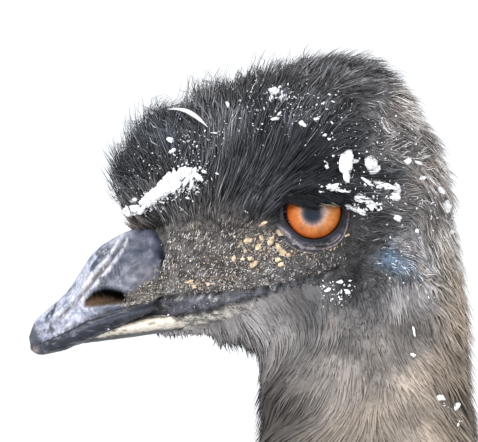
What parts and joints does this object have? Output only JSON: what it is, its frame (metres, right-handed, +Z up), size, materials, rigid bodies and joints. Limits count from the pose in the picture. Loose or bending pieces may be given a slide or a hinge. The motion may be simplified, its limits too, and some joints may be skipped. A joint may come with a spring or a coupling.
{
  "type": "emu",
  "caption": "Life-size adult emu standing still with its neck upright, shaggy brown body, dark bristly crown, blue-grey bill and orange eyes.",
  "frame": {"origin": "floor level, under the middle of the whole bird's box", "axes": "+Z up, -X towards the bill, -Y towards the bird's left side"},
  "size_m": [0.9598, 0.4458, 1.6434],
  "materials": {
    "plumage": "soft shaggy feathers, grey-brown with darker tips",
    "head_feathers": "fine hair-like feathers, near black with grey-brown ends",
    "bill": "horn, blue-grey with a dark edge and fine pale scratches",
    "eyes": "wet and glossy, orange iris and dark pupil",
    "leg_scales": "horny scales, dull grey-brown",
    "claws": "worn dark horn"
  },
  "bodies": {
    "root": {"head": "head_feathers", "neck_upper": "plumage", "neck_middle": "plumage", "neck_lower": "plumage", "torso": "plumage", "tail": "plumage", "upper_bill": "bill", "lower_bill": "bill", "eye_left": "eyes", "eye_right": "eyes", "wing_left": "plumage", "wing_right": "plumage", "thigh_left": "plumage", "thigh_right": "plumage", "tarsus_left": "leg_scales", "tarsus_right": "leg_scales", "toe_middle_left": "leg_scales", "toe_inner_left": "leg_scales", "toe_outer_left": "leg_scales", "toe_middle_right": "leg_scales", "toe_inner_right": "leg_scales", "toe_outer_right": "leg_scales", "claw_middle_left": "claws", "claw_inner_left": "claws", "claw_outer_left": "claws", "claw_middle_right": "claws", "claw_inner_right": "claws", "claw_outer_right": "claws"}
  },
  "joints": []
}
